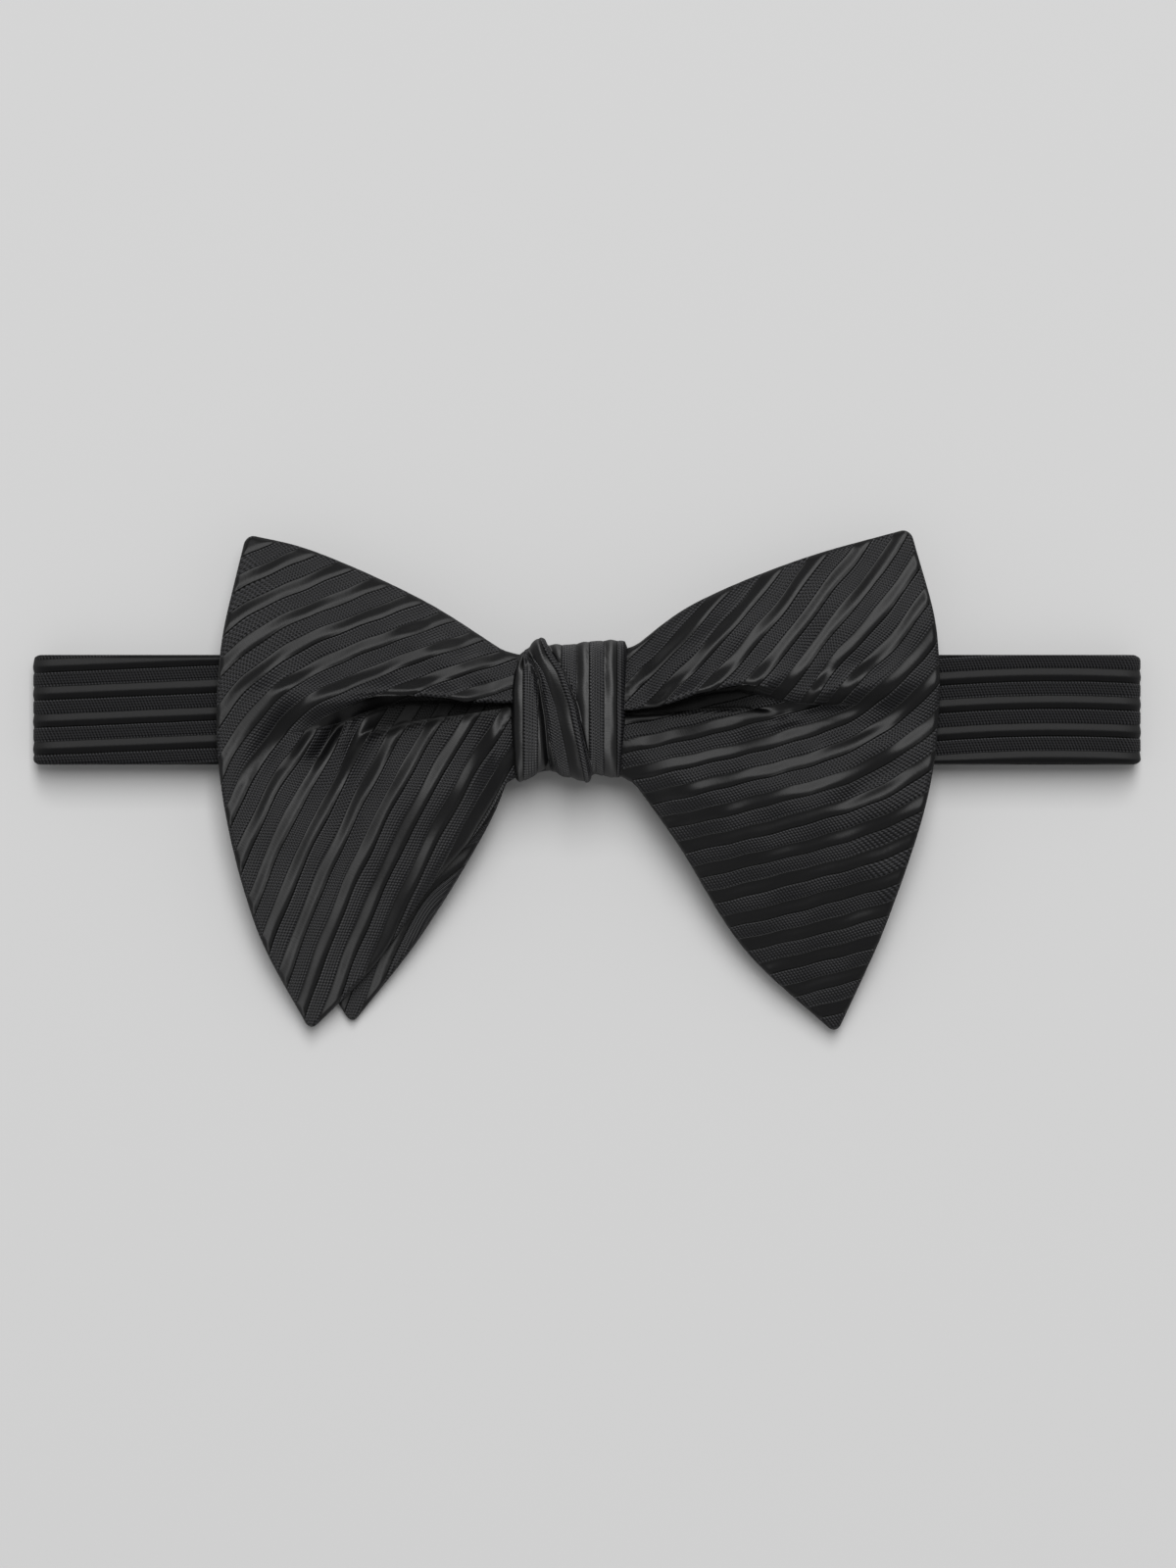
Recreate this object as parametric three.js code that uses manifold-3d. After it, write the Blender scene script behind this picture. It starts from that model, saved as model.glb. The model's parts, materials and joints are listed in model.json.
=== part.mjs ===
// Pre-tied black bow tie, lying face up with its neckband hooked closed behind it.
// Millimetres. X runs along the neckband, Y up the bow, Z away from the table it lies on.
import * as THREE from "three";
import { mergeVertices } from "three/addons/utils/BufferGeometryUtils.js";
import Module from "manifold-3d";

// ---- driving dimensions -------------------------------------------------------------------
const MIDDLE = { x: 3.3, y: -13.1 };   // middle of the whole object, measured from the knot
const CLOTH = 0.4;                     // one ply of shell cloth
const CORE = 0.6;                      // interlining
const PLY_GAP = 0.1;                   // air between the plies of one blade or strap
const BLADE = 2 * CLOTH + CORE + 2 * PLY_GAP;
const BLADE_GAP = 0.8;                 // between rear and front blade where they lie closest

const STRAP = { width: 20.8, thick: 1.6, y: 0.4 };
const FOLD = { left: -97.6, right: 104.2, radius: 3.5, z: 4.3 };
const UPPER_Z = FOLD.z + FOLD.radius;  // middle of the strap that carries the bow
const LOWER_Z = FOLD.z - FOLD.radius;  // the same strap where it lies on the table
const THREADED_Z = 2.0;                // the lower strap where it runs through the hardware
const TURN = { radius: 1.5, z: 3.5 };  // strap turned back round a metal bar
const RETURN_Z = TURN.z + TURN.radius;
const SEAM = 0.3;                      // clear space where one run of strap meets the next

const HOOK_X = 14;
const EYE_X = 34;
const SLIDER_X = -45;
const BAR = 0.9;                       // hook and eye plate thickness
const PLATE_HALF = 12.4;               // half the width of hook, eye and slider
const SLOT_HALF = 11.2;
const TACK = { x: 43, length: 16, width: 1.2 };

const KNOT = { left: -11, right: 10.5, half: 13.3, bottom: 6.1, middle: 12, top: 18, wall: 0.5 };
const BAND_TOP = 9.2;                  // height at which the rear blade crosses the strap

const MATERIALS = {
  blade_cloth: new THREE.MeshStandardMaterial({ color: 0x1b1b1d, roughness: 0.7 }),
  band_cloth: new THREE.MeshStandardMaterial({ color: 0x19191b, roughness: 0.7 }),
  interlining: new THREE.MeshStandardMaterial({ color: 0xd8d4c8, roughness: 0.95 }),
  thread: new THREE.MeshStandardMaterial({ color: 0x101012, roughness: 0.8 }),
  nickel: new THREE.MeshStandardMaterial({ color: 0xb9bcc0, roughness: 0.3, metalness: 1 }),
};

const wasm = await Module();
wasm.setup();

const bowTie = new THREE.Group();
bowTie.name = "bow_tie";

function add(name, slot, geometry) {
  geometry.translate(-MIDDLE.x, -MIDDLE.y, 0);
  const material = MATERIALS[slot];
  material.name = slot;
  const mesh = new THREE.Mesh(geometry, material);
  mesh.name = name;
  bowTie.add(mesh);
}

// ---- building closed solids ---------------------------------------------------------------
function solid(points, faces) {
  const geometry = new THREE.BufferGeometry();
  geometry.setAttribute("position", new THREE.Float32BufferAttribute(points.flat(), 3));
  geometry.setIndex(faces.flat());
  geometry.computeVertexNormals();
  return geometry;
}

const quad = (a, b, c, d) => [a, b, c, a, c, d];

/** Solid between two heights over a grid of columns of [x, y, ...] points. */
function slab(grid, low, high) {
  const rows = grid[0].length;
  const count = grid.length * rows;
  const points = [high, low].flatMap((height) => grid.flat().map((p) => [p[0], p[1], height(p)]));
  const top = (i, j) => i * rows + j;
  const under = (i, j) => count + i * rows + j;
  const faces = [];
  for (let i = 0; i < grid.length - 1; i++) {
    for (let j = 0; j < rows - 1; j++) {
      faces.push(quad(top(i, j), top(i + 1, j), top(i + 1, j + 1), top(i, j + 1)));
      faces.push(quad(under(i, j), under(i, j + 1), under(i + 1, j + 1), under(i + 1, j)));
    }
    faces.push(quad(top(i, 0), under(i, 0), under(i + 1, 0), top(i + 1, 0)));
    const last = rows - 1;
    faces.push(quad(top(i + 1, last), under(i + 1, last), under(i, last), top(i, last)));
  }
  for (let j = 0; j < rows - 1; j++) {
    const last = grid.length - 1;
    faces.push(quad(top(0, j + 1), under(0, j + 1), under(0, j), top(0, j)));
    faces.push(quad(top(last, j), under(last, j), under(last, j + 1), top(last, j + 1)));
  }
  return solid(points, faces);
}

/** Skin through a row of rings; a second row of rings makes it a tube open at both ends. */
function loft(outer, inner) {
  const n = outer[0].length;
  const last = outer.length - 1;
  const points = outer.flat().concat(inner ? inner.flat() : []);
  const out = (k, i) => k * n + (i % n);
  const into = (k, i) => (outer.length + k) * n + (i % n);
  const faces = [];
  for (let i = 0; i < n; i++) {
    for (let k = 0; k < last; k++) {
      faces.push(quad(out(k, i), out(k, i + 1), out(k + 1, i + 1), out(k + 1, i)));
      if (inner) faces.push(quad(into(k, i), into(k + 1, i), into(k + 1, i + 1), into(k, i + 1)));
    }
    if (inner) {
      faces.push(quad(out(0, i), into(0, i), into(0, i + 1), out(0, i + 1)));
      faces.push(quad(out(last, i), out(last, i + 1), into(last, i + 1), into(last, i)));
    } else if (i > 0 && i < n - 1) {
      faces.push([out(0, 0), out(0, i + 1), out(0, i)]);
      faces.push([out(last, 0), out(last, i), out(last, i + 1)]);
    }
  }
  return solid(points, faces);
}

/** Rectangular rings standing across a path of [x, z] points, mitred at every bend. */
function ringsAlong(path, width, thick, y) {
  return path.map(([x, z], k) => {
    const here = new THREE.Vector2(x, z);
    const before = new THREE.Vector2(...path[Math.max(k - 1, 0)]);
    const after = new THREE.Vector2(...path[Math.min(k + 1, path.length - 1)]);
    const arriving = (k > 0 ? here.clone().sub(before) : after.clone().sub(here)).normalize();
    const leaving = (k < path.length - 1 ? after.clone().sub(here) : arriving.clone()).normalize();
    const along = arriving.clone().add(leaving).normalize();
    const reach = thick / 2 / along.dot(arriving);
    const up = { x: -along.y * reach, z: along.x * reach };
    const corner = (side, lift) => [x + up.x * lift, y + (side * width) / 2, z + up.z * lift];
    return [corner(-1, -1), corner(1, -1), corner(1, 1), corner(-1, 1)];
  });
}

const strip = (path, width, thick, y = STRAP.y) => loft(ringsAlong(path, width, thick, y));

/** Shell cloth of a strap: a flat tube round the interlining, open at its ends. */
function shell(path) {
  const { width, thick, y } = STRAP;
  return loft(ringsAlong(path, width, thick, y),
    ringsAlong(path, width - 2 * CLOTH, thick - 2 * CLOTH, y));
}

const strapCore = (path) => strip(path, STRAP.width - 2 * CLOTH - 2 * PLY_GAP, CORE);

/** Half turn in X and Z about a centre, from its underside round to its top. */
function halfTurn(x, z, radius, side, steps) {
  return Array.from({ length: steps + 1 }, (_, k) => {
    const a = (Math.PI * k) / steps;
    return [x + side * radius * Math.sin(a), z - radius * Math.cos(a)];
  });
}

function toManifold(geometry) {
  const bare = new THREE.BufferGeometry();
  bare.setAttribute("position", geometry.getAttribute("position").clone());
  if (geometry.index) bare.setIndex(geometry.index.clone());
  const merged = mergeVertices(bare, 1e-5);
  return new wasm.Manifold(new wasm.Mesh({
    numProp: 3,
    vertProperties: new Float32Array(merged.getAttribute("position").array),
    triVerts: new Uint32Array(merged.index.array),
  }));
}

function fromManifold(body) {
  const mesh = body.getMesh();
  const geometry = new THREE.BufferGeometry();
  geometry.setAttribute("position", new THREE.Float32BufferAttribute(mesh.vertProperties, 3));
  geometry.setIndex([...mesh.triVerts]);
  geometry.computeVertexNormals();
  return geometry;
}

function box(x0, x1, y0, y1, z0, z1) {
  const geometry = new THREE.BoxGeometry(x1 - x0, y1 - y0, z1 - z0);
  return geometry.translate((x0 + x1) / 2, (y0 + y1) / 2, (z0 + z1) / 2);
}

const join = (...pieces) => fromManifold(wasm.Manifold.union(pieces.map(toManifold)));
const cut = (piece, tool) => fromManifold(toManifold(piece).subtract(toManifold(tool)));

// ---- blades -------------------------------------------------------------------------------
// One wing outline: lower edge and upper edge run out from the knot, outer edge runs upward.
const LEFT_FRONT = {
  lower: [[-11.4, -12.3], [-16.4, -22.5], [-25.1, -32.9], [-37.1, -48.6], [-49.3, -60.7]],
  upper: [[-11.4, 10.8], [-27.9, 21.1], [-47.9, 30.1], [-61.3, 33.6]],
  outer: [[-49.3, -60.7], [-58.6, -40], [-65.5, -13.4], [-66.1, 10], [-61.3, 33.6]],
  crease: [0.56, 0.57, 0.56, 0.52],
  crest: [0.58, 0.64, 0.67, 0.69],
};
const RIGHT_FRONT = {
  lower: [[11.4, -12.3], [20.5, -25.7], [33.9, -44.1], [51, -61]],
  upper: [[11.4, 11.6], [23.8, 20.4], [43.8, 28.7], [65, 34.7]],
  outer: [[51, -61], [60.6, -38.1], [68.6, -11.4], [69.9, 13.3], [65, 34.7]],
  crease: [0.48, 0.59, 0.6, 0.64],
  crest: [0.53, 0.65, 0.69, 0.74],
};
const LEFT_REAR = {
  lower: [[-11.4, -12.3], [-16, -22.7], [-27.9, -42.1], [-41.5, -59.5]],
  upper: [[-11.4, 10.4], [-27.9, 20], [-46, 27.8], [-58, 31]],
  outer: [[-41.5, -59.5], [-54, -38], [-62.5, -10], [-62.8, 12], [-58, 31]],
};
const RIGHT_REAR = {
  lower: [[11.4, -12.3], [20.8, -24.5], [34, -42], [48, -57]],
  upper: [[11.4, 11], [24, 19], [43.5, 26.6], [61, 31.5]],
  outer: [[48, -57], [57.5, -36], [65.4, -11], [66.5, 12], [61, 31.5]],
};
const STEPS_OUT = [0, 0.06, 0.14, 0.25, 0.4, 0.55, 0.7, 0.85, 1];
const PUFF = [0, 2.2, 4.2, 4.6, 3.8, 3, 2.2, 1.6, 1];

function curve(points) {
  return new THREE.CatmullRomCurve3(points.map(([x, y]) => new THREE.Vector3(x, y, 0)));
}

/** Plan point of a wing, s of the way out from the knot and r of the way up. */
function planPoint(wing, s, r) {
  const low = curve(wing.lower);
  const high = curve(wing.upper);
  const edge = curve(wing.outer);
  const [a, b] = [low.getPointAt(s), high.getPointAt(s)];
  const [c, d] = [edge.getPointAt(r), low.getPointAt(0).lerp(high.getPointAt(0), r)];
  const across = a.lerp(b, r);
  const along = d.lerp(c, s);
  const corners = low.getPointAt(0).lerp(low.getPointAt(1), s)
    .lerp(high.getPointAt(0).lerp(high.getPointAt(1), s), r);
  const p = across.add(along).sub(corners);
  return [p.x, p.y];
}

function between(values, s) {
  const k = Math.min(Math.floor(s * (values.length - 1)), values.length - 2);
  return THREE.MathUtils.lerp(values[k], values[k + 1], s * (values.length - 1) - k);
}

/** Underside of the rear blade: level over the strap, falling to the table beyond it. */
function restHeight(y) {
  const beyond = Math.max(0, -14 - y, y - 14.5);
  return BAND_TOP - 0.205 * (Math.hypot(beyond, 4) - 4);
}

/** How far the front blade stands off the rear one: a lobe below the crease and one above. */
function puff(height, r, crease, crest) {
  if (r <= crease) return height * Math.sin((Math.PI * r) / crease);
  const q = (r - crest) / (1 - crest);
  return height * Math.sin(Math.PI * (0.38 + 0.62 * q));
}

function rearColumn(wing, s) {
  const rows = Array.from({ length: 11 }, (_, j) => j / 10);
  return rows.map((r) => {
    const [x, y] = planPoint(wing, s, r);
    return [x, y, restHeight(y)];
  });
}

function frontColumn(wing, s, height) {
  const [crease, crest] = [between(wing.crease, s), between(wing.crest, s)];
  const rows = [0, crease / 4, crease / 2, 0.8 * crease, crease, crest];
  for (const q of [0.25, 0.5, 0.75, 1]) rows.push(crest + q * (1 - crest));
  return rows.map((r) => {
    const [x, y] = planPoint(wing, s, r);
    return [x, y, restHeight(y) + BLADE + BLADE_GAP + puff(height, r, crease, crest)];
  });
}

/** A whole blade: left wing, straight waist inside the knot, right wing. */
function bladeGrid(left, right, column) {
  const wing = (outline) => STEPS_OUT.map((s, k) => column(outline, s, PUFF[k]));
  const [out, back] = [wing(left), wing(right)];
  const waist = out[0].map((p, j) => {
    const q = back[0][j];
    return [0, (0.88 * (p[1] + q[1])) / 2, (p[2] + q[2]) / 2];
  });
  return [...out.reverse(), waist, ...back];
}

function blade(name, grid) {
  const ply = (from, to) => slab(grid, (p) => p[2] + from, (p) => p[2] + to);
  const core = CLOTH + PLY_GAP;
  add(`${name}_back`, "blade_cloth", ply(0, CLOTH));
  add(`${name}_interlining`, "interlining", ply(core, core + CORE));
  add(`${name}_face`, "blade_cloth", ply(BLADE - CLOTH, BLADE));
}

blade("rear_blade", bladeGrid(LEFT_REAR, RIGHT_REAR, rearColumn));
blade("front_blade", bladeGrid(LEFT_FRONT, RIGHT_FRONT, frontColumn));

// ---- knot ---------------------------------------------------------------------------------
/** Closed outline of the wrap at one x, flat below and domed above, drawn in by `inset`. */
function knotRing(x, crown, inset) {
  const steps = 28;
  return Array.from({ length: steps }, (_, k) => {
    const a = (2 * Math.PI * k) / steps;
    const [c, s] = [Math.cos(a), Math.sin(a)];
    const power = s > 0 ? 2 / 2.6 : 2 / 12;
    const tall = (s > 0 ? crown - KNOT.middle : KNOT.middle - KNOT.bottom) - inset;
    const y = Math.sign(c) * Math.abs(c) ** power * (KNOT.half - inset);
    return [x, y, KNOT.middle + Math.sign(s) * Math.abs(s) ** power * tall];
  });
}

const CROWNS = [[KNOT.left, 16.4], [-9, 17.4], [-4, KNOT.top], [4, KNOT.top], [9, 17.4],
  [KNOT.right, 16.6]];
const knotSkin = (inset) => CROWNS.map(([x, crown]) => knotRing(x, crown, inset));
add("knot_wrap", "blade_cloth", loft(knotSkin(0), knotSkin(KNOT.wall)));

const padColumns = [-8, -4, 0, 4, 8].map((x) =>
  [-11.2, -9, -6, -3, 0, 3, 6, 9, 11.2].map((y) => {
    const dome = (1 - Math.abs(y / (KNOT.half - KNOT.wall)) ** 2.6) ** (1 / 2.6);
    const crown = Math.abs(x) > 4 ? 17.4 : KNOT.top;
    return [x, y, KNOT.middle + (crown - KNOT.middle - KNOT.wall) * dome - 0.35];
  }));
add("knot_padding", "interlining", slab(padColumns, () => 14.55, (p) => p[2]));

/** Rings of a flat binding round the gathered waist and the two strap ends. */
function bindingRing(x, grow) {
  const [side, bottom, top] = [11.3 + grow, 6.92 - grow, 14.2 + grow];
  const plan = [[-side + 0.5, bottom], [side - 0.5, bottom], [side, bottom + 0.5],
    [side, top - 0.9], [side - 0.9, top], [-side + 0.9, top], [-side, top - 0.9],
    [-side, bottom + 0.5]];
  return plan.map(([y, z]) => [x, y, z]);
}
add("waist_thread", "thread",
  loft([bindingRing(-1.6, 0.12), bindingRing(1.6, 0.12)],
    [bindingRing(-1.6, 0), bindingRing(1.6, 0)]));

const whip = Array.from({ length: 13 }, (_, k) =>
  new THREE.Vector3(-9 + 1.5 * k, k % 2 ? -12.5 : -11.8, k % 2 ? 6.05 : 5.85));
const threadEnd = new THREE.Shape().absarc(0, 0, 0.15, 0, 2 * Math.PI);
add("knot_seam_thread", "thread", new THREE.ExtrudeGeometry(threadEnd,
  { steps: 48, curveSegments: 3, extrudePath: new THREE.CatmullRomCurve3(whip) }));

// ---- neckband -----------------------------------------------------------------------------
function strap(name, path) {
  add(name, "band_cloth", shell(path));
  add(`${name}_interlining`, "interlining", strapCore(path));
}

strap("left_upper_strap", [[FOLD.left + SEAM, UPPER_Z], [-0.5, UPPER_Z]]);
strap("right_upper_strap", [[0.5, UPPER_Z], [FOLD.right - SEAM, UPPER_Z]]);
strap("left_fold", halfTurn(FOLD.left, FOLD.z, FOLD.radius, -1, 10));
strap("right_fold", halfTurn(FOLD.right, FOLD.z, FOLD.radius, 1, 10));

strap("left_strap", [
  [FOLD.left + SEAM, LOWER_Z], [FOLD.left + 7, LOWER_Z], [FOLD.left + 14, THREADED_Z],
  ...halfTurn(HOOK_X, TURN.z, TURN.radius, 1, 8), [HOOK_X - 3, RETURN_Z],
]);
strap("return_strap", [[HOOK_X - 3 - SEAM, RETURN_Z], [SLIDER_X + 9 + SEAM, RETURN_Z]]);

const rightPath = [
  [FOLD.right - SEAM, LOWER_Z], [62, LOWER_Z], [52, THREADED_Z],
  ...halfTurn(EYE_X, TURN.z, TURN.radius, -1, 8), [EYE_X + 14, RETURN_Z],
];
const tackSlot = box(TACK.x - 0.8, TACK.x + 0.8, STRAP.y - 8.2, STRAP.y + 8.2, -1, 8);
add("right_strap", "band_cloth", cut(shell(rightPath), tackSlot));
add("right_strap_interlining", "interlining", cut(strapCore(rightPath), tackSlot));
add("right_bar_tack", "thread", strip([[TACK.x - TACK.width / 2, 3.5],
  [TACK.x + TACK.width / 2, 3.5]], TACK.length, 5));

// ---- slider: a flat frame whose middle bar stands above the strap that runs through it -----
const railOutline = new THREE.Shape([[-8, 0], [8, 0], [8, 1], [3, 1], [1.4, 5.2], [-1.4, 5.2],
  [-3, 1], [-8, 1]].map(([x, z]) => new THREE.Vector2(x, z)));
function rail(y) {
  const geometry = new THREE.ExtrudeGeometry(railOutline, { depth: 1.2, bevelEnabled: false });
  return geometry.rotateX(Math.PI / 2).translate(SLIDER_X, y, 0);
}
const sliderY = [STRAP.y - PLATE_HALF, STRAP.y + PLATE_HALF];
add("slider_frame", "nickel", join(
  rail(sliderY[0] + 1.2), rail(sliderY[1]),
  box(SLIDER_X - 8, SLIDER_X - 6.4, ...sliderY, 0, 1),
  box(SLIDER_X + 6.4, SLIDER_X + 8, ...sliderY, 0, 1),
  box(SLIDER_X - 0.45, SLIDER_X + 0.45, ...sliderY, 4.25, 5.15),
));

const loopTurn = halfTurn(SLIDER_X, 4.7, 1.1, -1, 8);
const loopPath = [[SLIDER_X + 8, 3.6], ...loopTurn, [SLIDER_X + 9, 5.8]];
const loopSlot = box(SLIDER_X + 4.2, SLIDER_X + 5.8, STRAP.y - 8.2, STRAP.y + 8.2, 2, 8);
add("slider_strap_end", "band_cloth", cut(strip(loopPath, STRAP.width, 0.8), loopSlot));
add("slider_bar_tack", "thread", strip([[SLIDER_X + 4.4, 4.7], [SLIDER_X + 5.6, 4.7]],
  TACK.length, 3.4));

// ---- hook and eye -------------------------------------------------------------------------
/** Stamped plate with rounded corners; each window is [from x, to x, half its width]. */
function plate(x0, x1, windows) {
  const [low, high, r] = [STRAP.y - PLATE_HALF, STRAP.y + PLATE_HALF, 0.8];
  const outline = new THREE.Shape()
    .moveTo(x0 + r, low).lineTo(x1 - r, low).quadraticCurveTo(x1, low, x1, low + r)
    .lineTo(x1, high - r).quadraticCurveTo(x1, high, x1 - r, high)
    .lineTo(x0 + r, high).quadraticCurveTo(x0, high, x0, high - r)
    .lineTo(x0, low + r).quadraticCurveTo(x0, low, x0 + r, low);
  for (const [a, b, half] of windows) {
    const [under, over] = [STRAP.y - half, STRAP.y + half];
    outline.holes.push(new THREE.Path()
      .moveTo(a, under).lineTo(a, over).lineTo(b, over).lineTo(b, under).lineTo(a, under));
  }
  const geometry = new THREE.ExtrudeGeometry(outline,
    { depth: BAR, bevelEnabled: false, curveSegments: 4 });
  return geometry.translate(0, 0, TURN.z - BAR / 2);
}

// The tongue dips under the front bar of the eye and comes up behind it.
const tongue = strip([[HOOK_X + 5.6, 3.5], [HOOK_X + 7, 3.5], [HOOK_X + 8, 2.1],
  [HOOK_X + 11, 2.1], [HOOK_X + 11.8, 2.6], [HOOK_X + 12, 4.7]], 7, BAR);
add("hook", "nickel", join(tongue, plate(HOOK_X - BAR / 2, HOOK_X + 6.5,
  [[HOOK_X + BAR / 2, HOOK_X + 2.8, SLOT_HALF]])));

add("eye", "nickel", plate(EYE_X - 11.4, EYE_X + BAR / 2, [
  [EYE_X - 10, EYE_X - 4.8, 9], [EYE_X - 2.8, EYE_X - BAR / 2, SLOT_HALF]]));

export default bowTie;
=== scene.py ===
# %% [markdown]
# # A striped bow tie lying face up
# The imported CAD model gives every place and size. This script builds the cloth over it: two lined
# blades, the knot that wraps them, and the neckband with its hook, eye and slider. Lengths are in
# millimetres from the middle of the knot until a mesh is made, and then in metres in the CAD frame.

# %% Load the frame
import json
import math

import bpy
import numpy as np
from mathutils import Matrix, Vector

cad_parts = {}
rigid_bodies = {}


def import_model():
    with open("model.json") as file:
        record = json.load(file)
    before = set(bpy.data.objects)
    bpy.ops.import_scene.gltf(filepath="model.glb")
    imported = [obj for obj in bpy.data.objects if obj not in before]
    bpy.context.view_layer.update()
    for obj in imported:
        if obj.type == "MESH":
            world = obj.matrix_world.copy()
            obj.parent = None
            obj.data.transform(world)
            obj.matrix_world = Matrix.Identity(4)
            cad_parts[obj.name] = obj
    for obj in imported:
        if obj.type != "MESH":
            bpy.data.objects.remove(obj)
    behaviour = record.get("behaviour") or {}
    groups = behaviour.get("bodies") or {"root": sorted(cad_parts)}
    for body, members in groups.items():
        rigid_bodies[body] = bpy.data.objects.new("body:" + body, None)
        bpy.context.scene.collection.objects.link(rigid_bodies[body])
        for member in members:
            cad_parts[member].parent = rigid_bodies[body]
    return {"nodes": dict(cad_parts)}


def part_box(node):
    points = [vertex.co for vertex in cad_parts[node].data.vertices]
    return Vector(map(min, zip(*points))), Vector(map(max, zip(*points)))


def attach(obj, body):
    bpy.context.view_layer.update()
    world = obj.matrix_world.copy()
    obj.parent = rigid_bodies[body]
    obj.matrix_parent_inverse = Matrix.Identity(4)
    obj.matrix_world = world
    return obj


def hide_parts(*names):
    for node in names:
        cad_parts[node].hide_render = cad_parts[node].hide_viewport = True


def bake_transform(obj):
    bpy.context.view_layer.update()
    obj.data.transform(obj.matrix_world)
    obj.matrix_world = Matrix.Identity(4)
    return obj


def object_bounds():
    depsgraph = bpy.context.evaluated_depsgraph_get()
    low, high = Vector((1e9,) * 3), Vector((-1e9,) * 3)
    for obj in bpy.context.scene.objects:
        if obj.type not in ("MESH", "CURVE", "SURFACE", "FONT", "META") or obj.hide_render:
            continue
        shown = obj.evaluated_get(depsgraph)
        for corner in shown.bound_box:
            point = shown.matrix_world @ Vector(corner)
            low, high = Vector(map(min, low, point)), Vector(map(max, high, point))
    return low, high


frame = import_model()
cad_low, cad_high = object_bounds()
knot_low, knot_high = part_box("knot_wrap")
KNOT_OFF_CENTRE = 0.00025       # m; the knot's box reaches a little further to the left
ORIGIN = np.array([(knot_low.x + knot_high.x) / 2 + KNOT_OFF_CENTRE,
                   (knot_low.y + knot_high.y) / 2, 0.0])
PERIOD = 5.2                    # mm, one satin stripe and one twill stripe
CLOTH = 0.3                     # mm, thickness of the silk
print("CAD box, mm:", [round(1000 * v, 1) for v in (cad_high - cad_low)])

# %% [markdown]
# ## Curves and grids
# Every piece of cloth here is a grid of points with two numbers kept at each point: how far along a
# stripe it lies, and how far across the stripes. They go into a UV map called Weave, so the
# material can draw a stripe at its true width however the cloth is folded.

# %% Curve and mesh helpers
def catmull(points, steps=40):
    """A smooth line through the points, as many close points."""
    p = np.array(points, float)
    p = np.vstack([2 * p[0] - p[1], p, 2 * p[-1] - p[-2]])
    t = np.linspace(0, 1, steps, endpoint=False)[:, None]
    runs = []
    for a, b, c, d in zip(p[:-3], p[1:-2], p[2:-1], p[3:]):
        runs.append(0.5 * (2 * b + (c - a) * t + (2 * a - 5 * b + 4 * c - d) * t ** 2
                           + (3 * b - a - 3 * c + d) * t ** 3))
    return np.vstack([*runs, p[-2:-1]])


def along(points, share):
    """Points at a share, 0 to 1, of the length of a smooth line."""
    line = catmull(points)
    length = np.concatenate([[0], np.cumsum(np.linalg.norm(np.diff(line, axis=0), axis=1))])
    return np.stack([np.interp(share, length / length[-1], line[:, k])
                     for k in range(line.shape[1])], axis=-1)


def smoothstep(x, low, high):
    t = np.clip((x - low) / (high - low), 0, 1)
    return t * t * (3 - 2 * t)


def eased(x, xs, ys):
    """Smooth curve through the values ys at xs."""
    line = catmull(list(zip(xs, ys)))
    return np.interp(x, line[:, 0], line[:, 1])


def normals(p):
    """Unit normals of a grid of points."""
    n = np.cross(np.gradient(p, axis=0), np.gradient(p, axis=1))
    return n / np.maximum(np.linalg.norm(n, axis=-1, keepdims=True), 1e-9)


def make_mesh(name, points, faces, weave=None):
    """A smooth mesh from points in millimetres; weave holds (along, across) for each point, and
    maybe how deep in a fold it lies, 0 to 1, from which the material paints shade into the colour."""
    mesh = bpy.data.meshes.new(name)
    mesh.from_pydata((points / 1000 + ORIGIN).tolist(), [], faces.tolist())
    mesh.polygons.foreach_set("use_smooth", [True] * len(mesh.polygons))
    if weave is not None:
        layer = mesh.uv_layers.new(name="Weave")
        corner = np.zeros(len(mesh.loops), np.int32)
        mesh.loops.foreach_get("vertex_index", corner)
        layer.data.foreach_set("uv", weave[corner, :2].astype(np.float32).ravel())
        # the depth in a fold, from which the material paints shade into the colour
        if weave.shape[1] == 3:
            fold = mesh.attributes.new("PaintedCreaseShade", "FLOAT", "POINT")
            fold.data.foreach_set("value", weave[:, 2].astype(np.float32))
    mesh.update()
    piece = bpy.data.objects.new(name, mesh)
    bpy.context.scene.collection.objects.link(piece)
    return piece


def grid_faces(n, m, closed=False, start=0, flip=False):
    """Quads over n columns of m points; closed joins the last row to the first."""
    i = np.arange(n - 1)[:, None]
    j = np.arange(m if closed else m - 1)[None, :]
    k = (j + 1) % m
    quads = np.stack([i * m + j, (i + 1) * m + j, (i + 1) * m + k, i * m + k], axis=-1)
    quads = quads.reshape(-1, 4) + start
    return quads[:, ::-1] if flip else quads


def sheet_mesh(name, points, weave, flip=False):
    n, m = points.shape[:2]
    return make_mesh(name, points.reshape(-1, 3), grid_faces(n, m, flip=flip),
                     weave.reshape(n * m, -1))


def slab_mesh(name, low, high):
    """A closed layer between two grids."""
    n, m = low.shape[:2]
    rim = np.concatenate([np.arange(n - 1) * m, (n - 1) * m + np.arange(m - 1),
                          (np.arange(n - 1, 0, -1)) * m + m - 1, np.arange(m - 1, 0, -1)])
    after = np.roll(rim, -1)
    sides = np.stack([rim, rim + n * m, after + n * m, after], axis=-1)
    faces = np.vstack([grid_faces(n, m), grid_faces(n, m, start=n * m, flip=True), sides])
    return make_mesh(name, np.vstack([high.reshape(-1, 3), low.reshape(-1, 3)]), faces)


def thicken(piece, depth):
    """Gives a single surface the real thickness of its cloth, growing inwards."""
    layer = piece.modifiers.new("Thickness", "SOLIDIFY")
    layer.thickness, layer.offset = depth / 1000, -1
    bpy.context.view_layer.objects.active = piece
    bpy.ops.object.modifier_apply(modifier=layer.name)
    return piece


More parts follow.
